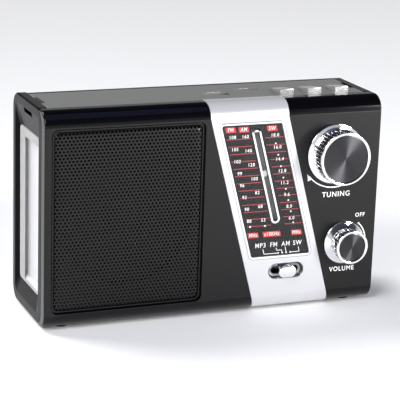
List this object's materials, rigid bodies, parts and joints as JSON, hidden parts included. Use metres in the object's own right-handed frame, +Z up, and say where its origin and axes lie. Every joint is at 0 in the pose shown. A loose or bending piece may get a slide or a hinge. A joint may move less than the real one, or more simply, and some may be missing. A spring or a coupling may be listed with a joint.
{
  "type": "shortwave receiver",
  "caption": "Portable table radio with a slanted silver dial band, perforated speaker grille, ribbed tuning and volume knobs, top keys, a side lamp and a folding telescopic aerial.",
  "frame": {"origin": "on the table, under the middle of the whole object", "axes": "+X to the right seen from the front, +Y from the front to the back, +Z up"},
  "size_m": [0.184, 0.0724, 0.1161],
  "materials": {
    "case_front": "satin black front, glossy rolled edges",
    "case_rear": "fine matte texture",
    "end_ring": "gloss",
    "plate_grey": "brushed satin",
    "fascia_silver": "smooth silver",
    "dial_dark": "printed scale",
    "lens_clear": "clear",
    "bright_trim": "polished",
    "knob_black": "black, turned in fine circles",
    "pointer_light": "moulded",
    "grille_black": "satin black",
    "cone_paper": "pressed pulp",
    "zinc_steel": "zinc plated",
    "ferrite_dark": "sintered",
    "copper_wire": "enamelled copper",
    "white_nylon": "moulded nylon",
    "cord": "braided",
    "lamp_white": "opal",
    "board_green": "solder mask",
    "board_white": "white solder mask",
    "black_plastic": "moulded",
    "nickel_contact": "nickel plated",
    "cell_wrap": "shrink sleeve",
    "rubber_foot": "moulded",
    "aerial_chrome": "polished"
  },
  "bodies": {
    "case": {"band_switch": "black_plastic", "battery_cell": "cell_wrap", "battery_contacts": "nickel_contact", "card_socket": "zinc_steel", "chips": "black_plastic", "dial_bracket": "white_nylon", "dial_cord": "cord", "dial_fascia": "fascia_silver", "dial_lens": "lens_clear", "dial_scale": "dial_dark", "ear_jack": "black_plastic", "electrolytics": "black_plastic", "end_frame_left": "end_ring", "end_frame_right": "end_ring", "feet": "rubber_foot", "ferrite_rod": "ferrite_dark", "front_shell": "case_front", "if_cans": "zinc_steel", "lamp_board": "board_white", "lamp_diffuser": "lamp_white", "lamp_switch": "black_plastic", "main_board": "board_green", "media_board": "board_green", "power_jack": "black_plastic", "rear_shell": "case_rear", "rod_clips": "white_nylon", "rod_coils": "copper_wire", "screws": "zinc_steel", "speaker_basket": "zinc_steel", "speaker_clips": "zinc_steel", "speaker_cone": "cone_paper", "speaker_grille": "grille_black", "speaker_magnet": "ferrite_dark", "switch_bezel": "bright_trim", "top_plate": "plate_grey", "tuning_capacitor": "zinc_steel", "usb_socket": "zinc_steel", "volume_pot": "zinc_steel"},
    "tuning": {"tuning_knob": "bright_trim", "tuning_knob_cap": "knob_black", "tuning_shaft": "zinc_steel", "tuning_drum": "white_nylon"},
    "volume": {"volume_knob": "bright_trim", "volume_knob_cap": "knob_black", "volume_shaft": "zinc_steel"},
    "pointer": {"dial_pointer": "pointer_light"},
    "idler_top": {"idler_upper": "white_nylon"},
    "idler_bottom": {"idler_lower": "white_nylon"},
    "band_slide": {"band_slider": "bright_trim"},
    "previous_key": {"key_previous": "bright_trim"},
    "play_key": {"key_play": "bright_trim"},
    "next_key": {"key_next": "bright_trim"},
    "lamp_slide": {"lamp_slider": "black_plastic"},
    "door": {"battery_door": "case_rear"},
    "aerial_base": {"antenna_base": "aerial_chrome"},
    "aerial_1": {"antenna_tube_1": "aerial_chrome"},
    "aerial_2": {"antenna_tube_2": "aerial_chrome"},
    "aerial_3": {"antenna_tube_3": "aerial_chrome"},
    "aerial_4": {"antenna_tube_4": "aerial_chrome"},
    "aerial_5": {"antenna_tube_5": "aerial_chrome"}
  },
  "joints": [
    {"name": "tuning_turn", "type": "hinge", "parent": "case", "child": "tuning", "pos_m": [0.0658, -0.02275, 0.0841], "axis": [0, 1, 0], "range_deg": [-90, 90]},
    {"name": "pointer_slide", "type": "slide", "parent": "case", "child": "pointer", "axis": [-0.2607, 0, 0.9654], "range_m": [-0.0231, 0.0231]},
    {"name": "idler_top_turn", "type": "hinge", "parent": "case", "child": "idler_top", "pos_m": [0.0272, -0.01815, 0.10496], "axis": [0, 1, 0], "range_deg": [-441, 441]},
    {"name": "idler_bottom_turn", "type": "hinge", "parent": "case", "child": "idler_bottom", "pos_m": [0.04263, -0.01815, 0.04781], "axis": [0, 1, 0], "range_deg": [-441, 441]},
    {"name": "volume_turn", "type": "hinge", "parent": "case", "child": "volume", "pos_m": [0.0734, -0.02275, 0.0351], "axis": [0, 1, 0], "range_deg": [0, 290]},
    {"name": "band_select", "type": "slide", "parent": "case", "child": "band_slide", "axis": [1, 0, 0], "range_m": [-0.0046, 0.0023]},
    {"name": "previous_press", "type": "slide", "parent": "case", "child": "previous_key", "axis": [0, 0, -1], "range_m": [0, 0.0008], "stiffness_N_per_m": 1500},
    {"name": "play_press", "type": "slide", "parent": "case", "child": "play_key", "axis": [0, 0, -1], "range_m": [0, 0.0008], "stiffness_N_per_m": 1500},
    {"name": "next_press", "type": "slide", "parent": "case", "child": "next_key", "axis": [0, 0, -1], "range_m": [0, 0.0008], "stiffness_N_per_m": 1500},
    {"name": "lamp_select", "type": "slide", "parent": "case", "child": "lamp_slide", "axis": [0, 0, 1], "range_m": [0, 0.004]},
    {"name": "door_out", "type": "slide", "parent": "case", "child": "door", "axis": [0, 1, 0], "range_m": [0, 0.04]},
    {"name": "aerial_swivel", "type": "hinge", "parent": "case", "child": "aerial_base", "pos_m": [-0.077, 0.03125, 0.1088], "axis": [0, 0, 1], "range_deg": [0, 90]},
    {"name": "aerial_elbow", "type": "hinge", "parent": "aerial_base", "child": "aerial_1", "pos_m": [-0.077, 0.03125, 0.1088], "axis": [0, -1, 0], "range_deg": [0, 90]},
    {"name": "aerial_extend_2", "type": "slide", "parent": "aerial_1", "child": "aerial_2", "axis": [1, 0, 0], "range_m": [0, 0.12]},
    {"name": "aerial_extend_3", "type": "slide", "parent": "aerial_2", "child": "aerial_3", "axis": [1, 0, 0], "range_m": [0, 0.12]},
    {"name": "aerial_extend_4", "type": "slide", "parent": "aerial_3", "child": "aerial_4", "axis": [1, 0, 0], "range_m": [0, 0.12]},
    {"name": "aerial_extend_5", "type": "slide", "parent": "aerial_4", "child": "aerial_5", "axis": [1, 0, 0], "range_m": [0, 0.12]}
  ],
  "couplings": [
    {"joint": "pointer_slide", "follows": "tuning_turn", "m_per_rad": 0.014642},
    {"joint": "idler_top_turn", "follows": "tuning_turn", "ratio": 4.8808},
    {"joint": "idler_bottom_turn", "follows": "tuning_turn", "ratio": 4.8808}
  ]
}
